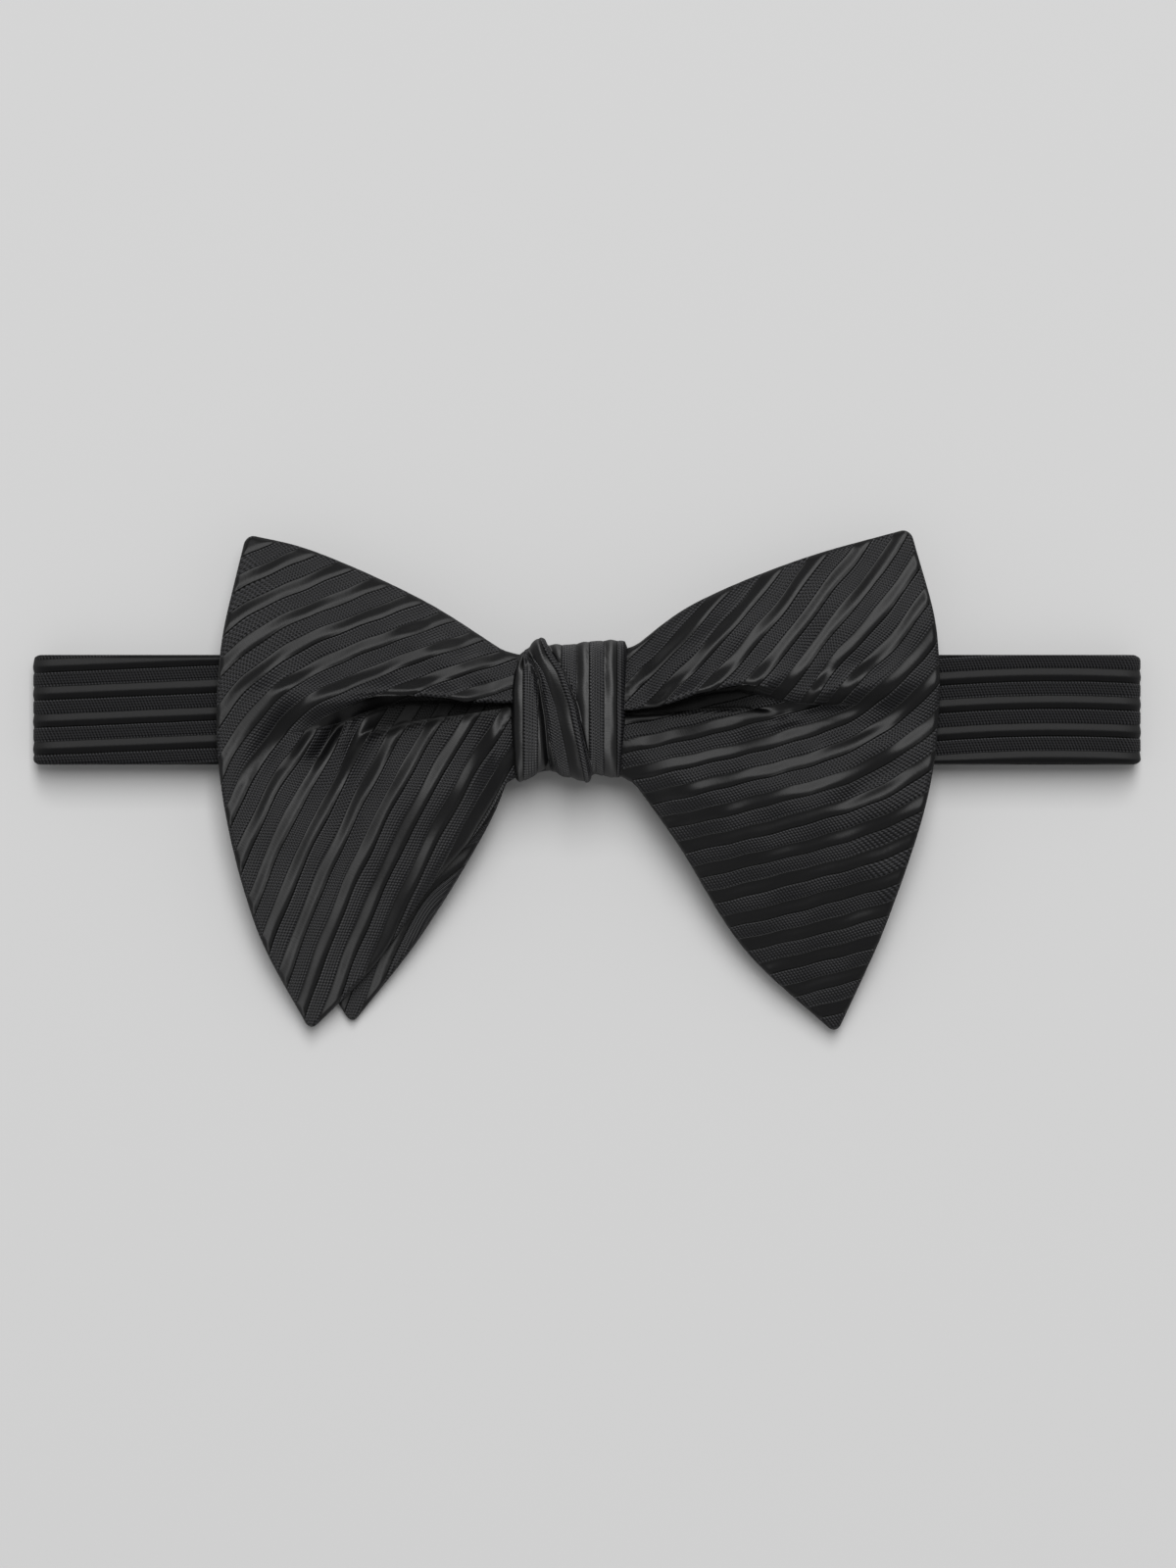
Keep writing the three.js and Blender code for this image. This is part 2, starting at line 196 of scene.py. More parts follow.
# %% [markdown]
# ## The stripe
# The cloth alternates a satin band, whose loose floats swell into a soft roll, with a flat band of
# fine twill. Both are about 2.6 mm wide, with a pulled-in groove at each side. The roll is real
# relief in the mesh, so it shades and shows at the edges; the threads themselves are too fine and
# come from the material.

# %% Relief of one stripe
def ribs(across, swell=0.42, lean=0.3):
    """Height of the cloth above its grooves, in mm, from the place across the stripes. lean is where
    the satin roll peaks: 0.5 is a round roll, and less is one that has slumped to its near side."""
    p = np.mod(across / PERIOD, 1)
    q = np.clip(p * 2, 0, 1)
    near = np.sin(np.pi / 2 * np.clip(q / lean, 0, 1))
    far = np.clip((1 - q) / (1 - lean), 0, 1) ** (1.2 if lean < 0.4 else 0.8)
    twill = np.clip(3.0 * np.sin(np.pi * np.clip(p * 2 - 1, 0, 1)), 0, 1)
    return np.where(p < 0.5, swell * np.minimum(near, far), 0.7 * swell * twill)


# %% [markdown]
# ## Blades
# A blade is a bag of two cloths with an interlining in it, gathered to a waist inside the knot. The
# cloth is cut on the bias, so its stripes lie at 45 degrees when flat. Gathering turns the upper and
# the lower half of each wing opposite ways, and the spare cloth goes into one deep crease that
# runs out from the knot. So each wing is laid out as two lobes that meet along a crease, with the
# crest of the upper lobe hanging over it. A simulated drape would give a crease of its own choosing
# and lose the stripes' places, so the lobes are shaped point by point from outlines in millimetres.

# %% Wing outlines
# lower, upper and outer are the edges in plan. crease and crest are where the lower lobe ends and
# the upper one begins, as shares of the way up, from the knot outwards. The crease closes between
# the two shares in deep. The rest lays the stripes of the upper and of the lower lobe.
LEFT_FRONT = {
    "lower": [(-11.4, -12.3), (-16.9, -21.9), (-25.8, -32.6), (-37.3, -48.4), (-49.3, -60.7)],
    "upper": [(-11.4, 10.8), (-27.9, 21.1), (-47.9, 30.1), (-61.3, 33.6)],
    "outer": [(-49.3, -60.7), (-59.5, -40), (-65.7, -13.4), (-65.8, 10), (-61.1, 33.6)],
    "crease": [0.56, 0.545, 0.52, 0.5],
    "crest": [0.6, 0.65, 0.655, 0.69], "deep": (0.42, 0.62),
    "turn": (-54, -1), "angles": (25, 61), "bend": (0.003, 0.0038), "phase": (0.6, 0.6),
    "side": -1,
}
RIGHT_FRONT = {
    "lower": [(11.4, -12.3), (20.7, -25.4), (33.2, -45.0), (50.7, -61.3)],
    "upper": [(11.4, 11.6), (23.8, 20.4), (43.8, 28.7), (65, 34.7)],
    "outer": [(50.7, -61.3), (60.6, -38.1), (68.4, -11.4), (69.3, 13.3), (64.4, 34.7)],
    "crease": [0.48, 0.58, 0.6, 0.62],
    "crest": [0.52, 0.66, 0.68, 0.71], "deep": (0.38, 0.54),
    "turn": (57, 0), "angles": (50, 17), "bend": (-0.004, -0.002), "phase": (1.4, 1.4),
    "side": 1,
}
LEFT_REAR = {
    "lower": [(-11.4, -12.3), (-16, -22.7), (-27.9, -42.1), (-41.5, -59.5)],
    "upper": [(-11.4, 10.4), (-27.9, 20), (-46, 27.8), (-58, 31)],
    "outer": [(-41.5, -59.5), (-54, -38), (-62.5, -10), (-62.8, 12), (-58, 31)],
    "turn": (-54, -1), "angles": (25, 61), "bend": (0.003, 0.0038), "phase": (2.2, 2.2),
    "side": -1,
}
RIGHT_REAR = {
    "lower": [(11.4, -12.3), (20.8, -24.5), (34, -42), (48, -57)],
    "upper": [(11.4, 11), (24, 19), (43.5, 26.6), (61, 31.5)],
    "outer": [(48, -57), (57.5, -36), (65.4, -11), (66.5, 12), (61, 31.5)],
    "turn": (57, 0), "angles": (50, 17), "bend": (-0.004, -0.002), "phase": (0, 0),
    "side": 1,
}
OUT = [0, 0.06, 0.14, 0.25, 0.4, 0.55, 0.7, 0.85, 1]       # shares of the way out
PUFF = [0, 2.2, 4.2, 4.6, 3.8, 3, 2.2, 1.6, 1]              # mm that the cloth stands up there
HALF = 0.8                      # mm, half the thickness of a lined blade
RIM = [0, 0.06, 0.18, 0.36, 0.6, 0.9]       # mm in from a sewn edge, where rows lie closer


def plan(wing, s, r):
    """Point of a wing, s of the way out from the knot and r of the way up."""
    low, high = along(wing["lower"], s), along(wing["upper"], s)
    edge = along(wing["outer"], r)
    r, s = r[..., None], s[..., None]
    a, b = np.array(wing["lower"][0], float), np.array(wing["upper"][0], float)
    c, d = np.array(wing["lower"][-1], float), np.array(wing["upper"][-1], float)
    corners = (a * (1 - s) + c * s) * (1 - r) + (b * (1 - s) + d * s) * r
    return low * (1 - r) + high * r + (a * (1 - r) + b * r) * (1 - s) + edge * s - corners


def rest_height(y):
    """Underside of the rear blade: level over the band, falling to the table beyond it."""
    beyond = np.maximum(0, np.maximum(-14 - y, y - 14.5))
    return 9.2 - 0.205 * (np.hypot(beyond, 4) - 4)


def stripes(wing, x, y, upper, open_wing):
    """(along, across) the stripes. upper is 1 on the upper lobe and 0 on the lower one; open_wing
    is 1 where the two lobes are one smooth cloth, out beyond the end of the crease."""
    found = []
    for angle, bend, phase in zip(wing["angles"], wing["bend"], wing["phase"]):
        a = math.radians(angle)
        dx, dy = x - wing["turn"][0], y - wing["turn"][1]
        t = dx * math.cos(a) + dy * math.sin(a)
        found.append((t, dy * math.cos(a) - dx * math.sin(a) + bend / 2 * t ** 2 + phase))
    (tu, cu), (tl, cl) = found
    sign = -wing["side"]
    width = 9.0                 # mm over which the stripes turn where the lobes are one cloth
    h = np.clip(0.5 + 0.5 * sign * (cu - cl) / width, 0, 1)
    joined = cl + (cu - cl) * h + sign * width * h * (1 - h)
    apart = np.where(upper > 0.5, cu, cl)
    across = apart + (joined - apart) * open_wing
    across = across + 0.15 * np.sin(0.5 * x + 0.2 * y) * np.sin(0.23 * y - 0.35 * x + 1)
    t_apart = np.where(upper > 0.5, tu, tl)
    t_joined = tl + (tu - tl) * h
    return np.stack([t_apart + (t_joined - t_apart) * open_wing, across], axis=-1)


# %% [markdown]
# ## Creases and wrinkles
# Small folds are lines of relief. Each has two ends, a height and a width, and fades out at
# its ends. A negative height is a furrow.

# %% Relief lines
WRINKLES = [
    # from, to, height, width
    ((-51.5, -9), (-44.5, -0.5), 1.0, 1.3), ((-45, -7.5), (-40.5, -1.0), 0.9, 1.0),
    ((-48.5, -9.5), (-42.5, -1.5), -1.0, 1.0), ((-41.5, -7), (-38, -1.5), 0.7, 0.8),
    ((-60, -11), (-50, 1.5), -0.8, 2.2), ((-60, 3.5), (-48, 5.0), 0.5, 1.6),
    ((-14, -14), (-30, -36), 0.5, 1.8), ((-18, -14), (-31, -28), -0.4, 2.5),
    ((-13, 5), (-36, 16), 0.5, 2.4), ((-13, 9), (-30, 17.5), -0.4, 1.6),
    ((36, 2.5), (59, 10.8), -1.0, 1.8), ((38, 0.8), (52, 4.0), 0.6, 1.4),
    ((40, -1.5), (46, 1.5), 0.7, 1.0), ((38, -2.6), (44, -1.2), 0.6, 0.8),
    ((44, -5), (60, -2.0), -0.6, 2.0), ((46, -8), (60, -6), 0.4, 2.4),
    ((64, -9), (49, -18.5), -0.7, 2.0), ((62, -5.5), (48, -14), 0.4, 2.2),
    ((13, -8), (34, -22), 0.4, 2.6), ((12, -11), (27, -27), -0.4, 2.0),
    ((13, 6), (34, 17), 0.5, 2.4), ((12, 9.5), (29, 19), -0.4, 1.8),
]


def wrinkles(x, y):
    """Height of all the relief lines at a place; each line bows a little to one side."""
    total = np.zeros_like(x)
    for (x0, y0), (x1, y1), height, width in WRINKLES:
        length = math.hypot(x1 - x0, y1 - y0)
        ux, uy = (x1 - x0) / length, (y1 - y0) / length
        t = (x - x0) * ux + (y - y0) * uy
        off = (y - y0) * ux - (x - x0) * uy
        off = off + 0.07 * (t - length / 2) ** 2 / length
        ends = smoothstep(t, -2, length * 0.3) * (1 - smoothstep(t, length * 0.7, length + 2))
        total += height * ends * np.exp(-(off / width) ** 2)
    return total


def sway(x, y):
    """Slow unevenness of soft cloth, a fraction of a millimetre."""
    return (0.22 * np.sin(0.21 * x + 0.33 * y + 0.6) * np.sin(0.17 * y - 0.12 * x)
            + 0.12 * np.sin(0.55 * x - 0.31 * y + 1.9) + 0.10 * np.sin(0.47 * y + 0.38 * x))


# %% [markdown]
# ## A wing as a grid
# A wing's grid has columns from the knot out to the outer edge (s, 0 to 1) and rows from the lower
# edge to the upper (r, 0 to 1), closer together at the sewn edges. The front wing has three bands of
# rows: the lower lobe, the wall of the crease, and the upper lobe. Where the crease is deep, its
# wall dives under the crest. Further out the same rows smooth into one cloth with a shallow valley.

# %% Grids of the wings
WING_LONG, LOBE_TALL = 60.0, 44.0           # mm, nominal sizes that turn shares into distances


def outward(pitch):
    """Columns of a wing, 0 to 1, packed closer at the outer edge."""
    s = np.linspace(0, 1, int(WING_LONG / pitch))
    fine = 1 - np.array(RIM[::-1]) / WING_LONG
    return np.concatenate([s[s < fine[0] - 1e-6], fine])


def upward(count, edge_first):
    """Rows of one lobe, 0 to 1, packed closer at the blade's edge."""
    fine = np.array(RIM) / LOBE_TALL
    rows = np.concatenate([fine, np.linspace(0, 1, count)[1:]])
    rows = np.unique(np.round(rows, 5))
    return rows if edge_first else 1 - rows[::-1]


def rounded(s, r, tall, radius=2.0):
    """Pulls the ends of the outer edge in, so both tips are rounded."""
    e = np.minimum(r, 1 - r) * tall
    cut = radius - np.sqrt(np.maximum(0, radius ** 2 - np.maximum(0, radius - e) ** 2))
    return s * (1 - cut / WING_LONG)


def rim_drop(s, r, tall):
    """1 in the open cloth and 0 at the sewn edge, as a quarter round."""
    d = np.minimum(np.minimum(r, 1 - r) * tall, (1 - s) * WING_LONG)
    return np.sqrt(np.maximum(0, 1 - (1 - np.clip(d / RIM[-1], 0, 1)) ** 2))


def front_wing(wing, pitch):
    """Points of a front wing, its weave with the depth in the crease that sets the shade painted
    there, and its nearness to the rim.
    """
    s = outward(pitch)
    low, wall, high = upward(int(58 / pitch), True), 16, upward(int(36 / pitch), False)
    crease = eased(s, np.linspace(0, 1, 4), wing["crease"])
    crest = eased(s, np.linspace(0, 1, 4), wing["crest"])
    lift = eased(s, OUT, PUFF)
    deep = 1 - smoothstep(s, *wing["deep"])
    root = np.exp(-(s / 0.05) ** 2)
    lift = lift + 2.2 * root
    rows_low = crease[:, None] * low
    k = np.linspace(0, 1, wall + 2)[1:-1]
    rows_wall = crease[:, None] + (crest - crease)[:, None] * k
    rows_high = crest[:, None] + (1 - crest)[:, None] * high
    r = np.hstack([rows_low, rows_wall, rows_high])
    S = np.repeat(s[:, None], r.shape[1], axis=1)
    tall = np.linalg.norm(along(wing["upper"], s) - along(wing["lower"], s), axis=1)[:, None]
    inset = rounded(S, r, tall)
    xy = plan(wing, inset, r)
    a, b = len(low), len(low) + wall
    puff = np.empty_like(r)
    shut = (1 - 0.26 * deep)[:, None]
    puff[:, :a] = lift[:, None] * np.sin(np.pi * shut * low) * np.minimum(1, 1.15 - 0.15 * low)
    puff[:, b:] = lift[:, None] * np.sin(np.pi * (0.38 + 0.62 * high))
    # both lips stand up at the crease, so its mouth is deep and dark; short is mm from the lip
    short = (1 - low) * (crease[:, None] * tall)
    mouth = deep * smoothstep(s, 0.03, 0.16)
    puff[:, :a] += (1.3 * mouth)[:, None] * np.exp(-(short / 4.5) ** 2)
    brow = deep + 0.8 * smoothstep(s, 0.3, 0.55) * (1 - smoothstep(s, 0.8, 1.0))
    ridge = np.clip(brow, 0, 1) * (0.9 + 1.8 * smoothstep(s, 0.04, 0.16))
    puff[:, b:] += ridge[:, None] * np.exp(-(high / 0.16) ** 2)
    z_low, z_high = puff[:, a - 1:a], puff[:, b:b + 1]
    # the wall: down into the crease, under the crest, and up round its fold
    soft = k * k * (3 - 2 * k)
    over = np.interp(k, [0, 0.2, 0.5, 0.8, 1], [0, -0.1, 1.0, 0.8, 0.0])
    dive = np.clip(1 - k / 0.2, 0, 1) ** 2
    climb = np.clip((k - 0.5) / 0.5, 0, 1) ** 0.6
    floor = z_low * dive + z_high * climb - 0.8 * (1 - dive) * (1 - climb)
    smooth = z_low + (z_high - z_low) * soft
    valley = 1.3 * smoothstep(s, 0.3, 0.6) * (1 - smoothstep(s, 0.75, 1.0))
    smooth = smooth - valley[:, None] * np.sin(np.pi * k) ** 2
    puff[:, a:b] = smooth + (floor - smooth) * deep[:, None]
    xy[:, a:b, 1] += (1.6 * deep)[:, None] * over
    # both lips of the crease are rolled
    near_low = np.clip((1 - low) * 22, 0, 1)
    near_high = np.clip(high * 16, 0, 1)
    puff[:, :a] -= (0.5 * deep)[:, None] * (1 - np.sqrt(1 - (1 - near_low) ** 2))
    puff[:, b:] -= (0.9 * deep)[:, None] * (1 - np.sqrt(1 - (1 - near_high) ** 2))
    xy[..., 0] -= 1.5 * wing["side"] * np.clip(1 - S / 0.04, 0, 1) ** 2
    x, y = xy[..., 0], xy[..., 1]
    quiet = smoothstep(S, 0.02, 0.12)
    z = rest_height(y) + 2.4 + HALF + puff + quiet * (wrinkles(x, y) + sway(x, y))
    upper = np.zeros_like(r)
    upper[:, (a + b) // 2:] = 1
    open_wing = smoothstep(S, 0.55, 0.85)
    # how deep in the crease each point lies; the material darkens the colour by it, as painted shade
    fold = np.zeros_like(r)
    fold[:, :a] = 0.85 * deep[:, None] * np.exp(-(short / 2.2) ** 1.3)
    fold[:, a:b] = deep[:, None] * smoothstep(1 - k, 0.0, 0.25)
    weave = np.dstack([stripes(wing, x, y, upper, open_wing), fold])
    return np.dstack([x, y, z]), weave, rim_drop(S, r, tall)


def rear_wing(wing, pitch):
    """The same for a rear wing, which lies flat and has no crease."""
    s = outward(pitch)
    r = np.unique(np.concatenate([upward(int(48 / pitch), True) / 2,
                                  0.5 + upward(int(48 / pitch), False) / 2]))
    S, r = np.meshgrid(s, r, indexing="ij")
    tall = np.linalg.norm(along(wing["upper"], s) - along(wing["lower"], s), axis=1)[:, None]
    xy = plan(wing, rounded(S, r, tall), r)
    x, y = xy[..., 0], xy[..., 1]
    z = rest_height(y) + HALF
    weave = np.dstack([stripes(wing, x, y, np.where(y > -2, 1.0, 0.0), np.ones_like(x)),
                       np.zeros_like(x)])
    return np.dstack([x, y, z]), weave, rim_drop(S, r, tall)


def whole_blade(left, right, build, pitch):
    """Left wing, waist and right wing as one grid running along X."""
    out = [build(left, pitch), build(right, pitch)]
    (pl, wl, el), (pr, wr, er) = out
    share = np.linspace(0, 1, 14)[1:-1, None, None]
    narrow = 1 - 0.12 * np.sin(np.pi * share[..., 0])
    waist = pl[0] * (1 - share) + pr[0] * share
    waist[..., 1] *= narrow
    weave = wl[0] * (1 - share) + wr[0] * share
    rim = el[0] * (1 - share[..., 0]) + er[0] * share[..., 0]
    return (np.concatenate([pl[::-1], waist, pr]), np.concatenate([wl[::-1], weave, wr]),
            np.concatenate([el[::-1], rim, er]))


def raised(points, weave, rim, swell):
    """The outer face of a blade: its middle surface, out by half a thickness and the ribs."""
    n = normals(points)
    up = np.zeros_like(points)
    up[..., 2] = 1
    body = points + up * (HALF * rim)[..., None]
    return body + n * (ribs(weave[..., 1], swell) * np.clip(rim, 0.25, 1))[..., None]


FACE_SWELL = 0.26               # mm, how high a satin roll stands on the blades


def make_blade(name, left, right, build, pitch):
    """A blade's face cloth, its back cloth and, between them, its interlining."""
    points, weave, rim = whole_blade(left, right, build, pitch)
    face = sheet_mesh(f"{name}_face_cloth", raised(points, weave, rim, FACE_SWELL), weave)
    coarse, coarse_weave, coarse_rim = whole_blade(left, right, build, 2.2 * pitch)
    under = coarse.copy()
    under[..., 2] -= HALF * coarse_rim + 0.15 * coarse_rim * ribs(coarse_weave[..., 1]) / 0.42
    back = sheet_mesh(f"{name}_back_cloth", under, coarse_weave, flip=True)
    inner = coarse[6:-6, 5:-5]
    lift = np.array([0, 0, 0.3])
    core = slab_mesh(f"{name}_lining", inner - lift, inner + lift)
    for piece in (face, back):
        thicken(piece, CLOTH)
    for piece, node in ((face, "face"), (back, "back"), (core, "interlining")):
        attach(piece, "bow")
        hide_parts(f"{name}_{node}")
    print(name, "faces:", len(face.data.polygons), len(back.data.polygons))
    return face, back, core


front = make_blade("front_blade", LEFT_FRONT, RIGHT_FRONT, front_wing, 0.55)
rear = make_blade("rear_blade", LEFT_REAR, RIGHT_REAR, rear_wing, 0.75)


# %% [markdown]
# ## The knot
# The knot is a strip of the same cloth wrapped once round the gathered waist, over wadding that
# domes it, and sewn behind. It is a little too wide for the waist, so one oblique pleat takes up the
# slack. A sculpted block would do from far off, but the pleat is an edge lying over its neighbour, so
# the strip is laid out in three parts: left of the pleat, the pleat, and right of it. Narrow walls
# between them dip under each lip.

# %% Lines down the knot, as (height in plan, place across)
EDGE_LEFT = [(-13.6, -9.8), (-10.8, -10.5), (-2.2, -11.2), (4.5, -11.0), (9.1, -10.4), (13.5, -8.9)]
TUCK = [(-13.6, -3.6), (-11.3, -3.9), (-1.5, -4.55), (6.9, -5.7), (11, -7.2), (13.5, -8.2)]
PLEAT = [(-13.6, 4.2), (-12.5, 4.0), (0.75, 1.33), (7.6, -0.93), (13.5, -4.6)]
EDGE_RIGHT = [(-13.6, 9.7), (-9, 9.9), (-2.2, 10.5), (4.5, 10.6), (9.1, 10.8), (13.5, 10.9)]
TOP_REACH = [(-11, 11.0), (-8.3, 12.0), (-7.2, 12.6), (-5.4, 12.9), (-3.9, 12.7), (-1, 12.6),
             (5, 13.5), (11, 13.4)]
BOTTOM_REACH = [(-11, 13.5), (-9.6, 13.5), (-7.8, 12.7), (-5, 11.3), (-3.2, 11.4), (-1.2, 12.4),
                (3.3, 13.0), (4.7, 11.9), (8.5, 12.6), (11, 13.0)]
CROWN = [(-11.2, 16.0), (-10.4, 16.9), (-8.5, 17.5), (-4, 18), (4, 18), (8.5, 17.5), (10, 16.9),
         (10.9, 16.2)]
KNOT_LOW, KNOT_MIDDLE = 6.1, 12.0           # mm, heights of its underside and its widest level
TOP_ROUND, UNDER_ROUND = 2 / 2.6, 2 / 12    # powers of its section: domed above, square below
KNOT_SWELL = 0.22                           # mm, pulled flatter than the blades' stripes


def on(line, at):
    """Value of a line of (place, value) at some places."""
    xs, ys = np.array(line, float).T
    return np.interp(at, xs, ys)


def knot_grid(turns):
    """Points and weave of the wrap, one column for each angle round it."""
    angle = np.linspace(0, 2 * math.pi, turns, endpoint=False)
    c, s = np.cos(angle), np.sin(angle)
    level = 13.3 * np.sign(c) * np.abs(c) ** TOP_ROUND        # place along Y at mid height
    seen = smoothstep(s, -0.35, 0.1)                           # 1 on the top, 0 underneath
    left, tuck, pleat, right = [on(l, level) for l in (EDGE_LEFT, TUCK, PLEAT, EDGE_RIGHT)]
    rows, parts = [], []
    for a, b, count, part in ((left, tuck, 30, 0), (tuck, tuck + 0.35, 5, 1),
                              (tuck + 0.35, pleat, 30, 2), (pleat, pleat + 0.35, 5, 3),
                              (pleat + 0.35, right, 34, 4)):
        wall = part in (1, 3)
        k = (np.arange(count) + 0.5) / count if wall else np.arange(count) / (count - 1)
        rows.append(a[:, None] + (b - a)[:, None] * k)
        parts.append(np.full(count, part))
    x, part = np.hstack(rows), np.concatenate(parts)
    # the strip dips at the tuck, rolls over the pleat and drops off its far lip
    step = x - tuck[:, None]
    over = x - pleat[:, None]
    rise = np.zeros_like(x)
    rise -= np.where(step < 0, 1.5 * np.exp(-(step / 0.75) ** 2), 0)
    fold = np.clip(step / 2.2, 0, 1)
    rise += np.where((step >= 0) & (over <= 0), -1.5 + 1.5 * np.sqrt(1 - (1 - fold) ** 2)
                     + 0.8 * np.clip(1 + over / 3.0, 0, 1) ** 1.5, 0)
    rise -= np.where(over > 0, 0.35 * np.exp(-(over - 0.35) / 0.8), 0)
    near = np.where(over <= 0, np.clip(-over / 0.7, 0, 1), 1)
    rise -= np.where(over <= 0, 0.55 * (1 - np.sqrt(1 - (1 - near) ** 2)), 0)
    # a puckered corner at the upper left, and slow unevenness
    y0 = level[:, None]
    rise += 0.9 * np.exp(-((x + 5.9) / 1.6) ** 2 - ((y0 - 12.3) / 2.4) ** 2)
    rise -= 0.9 * np.exp(-((x + 8.2) / 0.8) ** 2 - ((y0 - 10.8) / 1.6) ** 2)
    rise += 0.15 * np.sin(0.5 * y0 + 0.9 * x) * np.sin(0.31 * y0 - 0.4 * x)
    rise *= seen[:, None]
    # each stripe keeps to its own part of the strip
    across = np.where(part == 0, -(x + 8.6), np.where(part >= 4, -(x - 3.8),
                      -(x - pleat[:, None] + 1.3)))
    for j in np.flatnonzero((part == 1) | (part == 3)):
        a, b = j - 1, j + 1
        while part[b] in (1, 3):
            b += 1
        across[:, j] = across[:, a] + (across[:, b] - across[:, a]) / (b - a)
    end = np.minimum(x - left[:, None], right[:, None] - x)
    lip = 1 - np.sqrt(np.maximum(0, 1 - (1 - np.clip(end / 0.8, 0, 1)) ** 2))
    out = rise + ribs(across, KNOT_SWELL, 0.5) - KNOT_SWELL - 1.2 * lip
    reach_top, reach_low = on(TOP_REACH, x), on(BOTTOM_REACH, x)
    half = np.where(c[:, None] > 0, reach_top, reach_low) + out
    crown = on(CROWN, x) - KNOT_MIDDLE + out
    depth = KNOT_MIDDLE - KNOT_LOW + np.minimum(out, 0)
    power = np.where(s > 0, TOP_ROUND, UNDER_ROUND)
    y = np.sign(c)[:, None] * (np.abs(c) ** power)[:, None] * half
    up = (np.abs(s) ** power)[:, None]
    z = KNOT_MIDDLE + np.where(s[:, None] > 0, up * crown, -up * depth)
    p = np.dstack([x, y, z])
    run = np.linalg.norm(np.diff(p[:, 40], axis=0), axis=1)
    length = np.concatenate([[0], np.cumsum(run)])
    return p, np.dstack([np.repeat(length[:, None], x.shape[1], axis=1), across])


# %% The wrap
points, weave = knot_grid(150)
ring = np.concatenate([points, points[:1]])
ring_weave = np.concatenate([weave, weave[:1] + [[[1.0, 0.0]]]])
knot = sheet_mesh("knot_cloth", ring, ring_weave)
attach(knot, "bow")
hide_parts("knot_wrap")

# %% The wadding under it
pad_x, pad_y = np.meshgrid(np.linspace(-7.4, 7.4, 30), np.linspace(-7.8, 7.8, 32), indexing="ij")
dome = (1 - np.abs(pad_y / 8.6) ** 2.6) ** (1 / 2.6) * (1 - np.abs(pad_x / 8.2) ** 4) ** 0.25
tuft = 0.06 * np.sin(2.1 * pad_x) * np.sin(1.7 * pad_y)
pad_top = np.dstack([pad_x, pad_y, 14.6 + 1.0 * dome + tuft])
wadding = slab_mesh("knot_wadding", np.dstack([pad_x, pad_y, np.full_like(pad_x, 14.4)]), pad_top)
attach(wadding, "bow")
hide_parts("knot_padding")
print("knot faces:", len(knot.data.polygons), "wadding faces:", len(wadding.data.polygons))

# %% Whip stitches that close the wrap behind
SEAM_LEFT, SEAM_Y, SEAM_Z, STITCH_LONG, THREAD_RADIUS = -9, -9.6, 6.0, 1.5, 0.15
step = np.arange(0, 12.01, 0.125)
stitch = np.stack([SEAM_LEFT + STITCH_LONG * step, SEAM_Y + 0.4 * np.cos(np.pi * step),
                   SEAM_Z + 0.12 * np.cos(2 * np.pi * step)], axis=1)
tangent = normals(np.stack([stitch, stitch + [0, 0, 1]], axis=1))[:, 0]
a = np.linspace(0, 2 * math.pi, 8, endpoint=False)
rings = stitch[:, None] + THREAD_RADIUS * (np.cos(a)[None, :, None] * tangent[:, None]
                                           + np.sin(a)[None, :, None] * np.array([0, 0, 1.0]))
seam = make_mesh("knot_whip_stitches", rings.reshape(-1, 3),
                 grid_faces(len(stitch), 8, closed=True))
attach(seam, "bow")
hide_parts("knot_seam_thread")
print("seam length, mm:", round(float(np.ptp(stitch[:, 0])), 1))

# %% [markdown]
# ## The neckband
# The band is a tube of the same cloth, turned right side out over a strip of interlining and pressed
# flat. Here it lies folded in half behind the bow. Each tube is swept along the route it takes in
# the CAD model. A strap that crosses a joint is one piece, given no body, with its place baked into
# its mesh. A bevelled curve could sweep the tube too, but a grid keeps the length along the band and
# the place across its stripes.

# %% Routes of the straps
BAND_Y, BAND_WIDTH, BAND_THICK = 0.4, 20.8, 1.6
FOLD_LEFT, FOLD_RIGHT, FOLD_Z, FOLD_RADIUS = -97.6, 104.2, 4.3, 3.5
HOOK_X, EYE_X, SLIDER_X, TURN_Z, TURN_RADIUS = 14.0, 34.0, -45.0, 3.5, 1.5
UPPER_Z, LOWER_Z = FOLD_Z + FOLD_RADIUS, FOLD_Z - FOLD_RADIUS           # runs at the folds
RETURN_Z, STRAP_Z = TURN_Z + TURN_RADIUS, TURN_Z - TURN_RADIUS          # runs at the hardware
HINGE_OUT = 5.5                 # mm from the middle of a fold out to its hinge
BLEND_TOP, BLEND_LOW = 6.6, 2.0             # mm, two heights given with each strap that crosses a hinge


def half_turn(x, z, radius, side, steps=24):
    """From the underside of a bar round to its top."""
    a = np.linspace(0, math.pi, steps)
    return list(zip(x + side * radius * np.sin(a), z - radius * np.cos(a)))


def route(points, pitch=0.8):
    """Close points along a route, with its corners eased. The sharp turns keep all their points."""
    p = np.array(points, float)
    out = [p[0]]
    for a, b in zip(p[:-1], p[1:]):
        n = max(1, int(np.linalg.norm(b - a) / pitch))
        out += [a + (b - a) * (k + 1) / n for k in range(n)]
    q = np.array(out)
    for _ in range(3):
        q[1:-1] = 0.25 * q[:-2] + 0.5 * q[1:-1] + 0.25 * q[2:]
    return q


def band_stripes(x, y):
    """Place across the stripes on the visible side: each half of the band was cut a little askew."""
    left = y - 2.9 - 0.043 * (np.minimum(x, -40) + 84)
    right = y - 0.5 + 0.0018 * (np.maximum(x, 60) - 92) ** 2 - 0.1
    return np.where(x < 0, left, right)


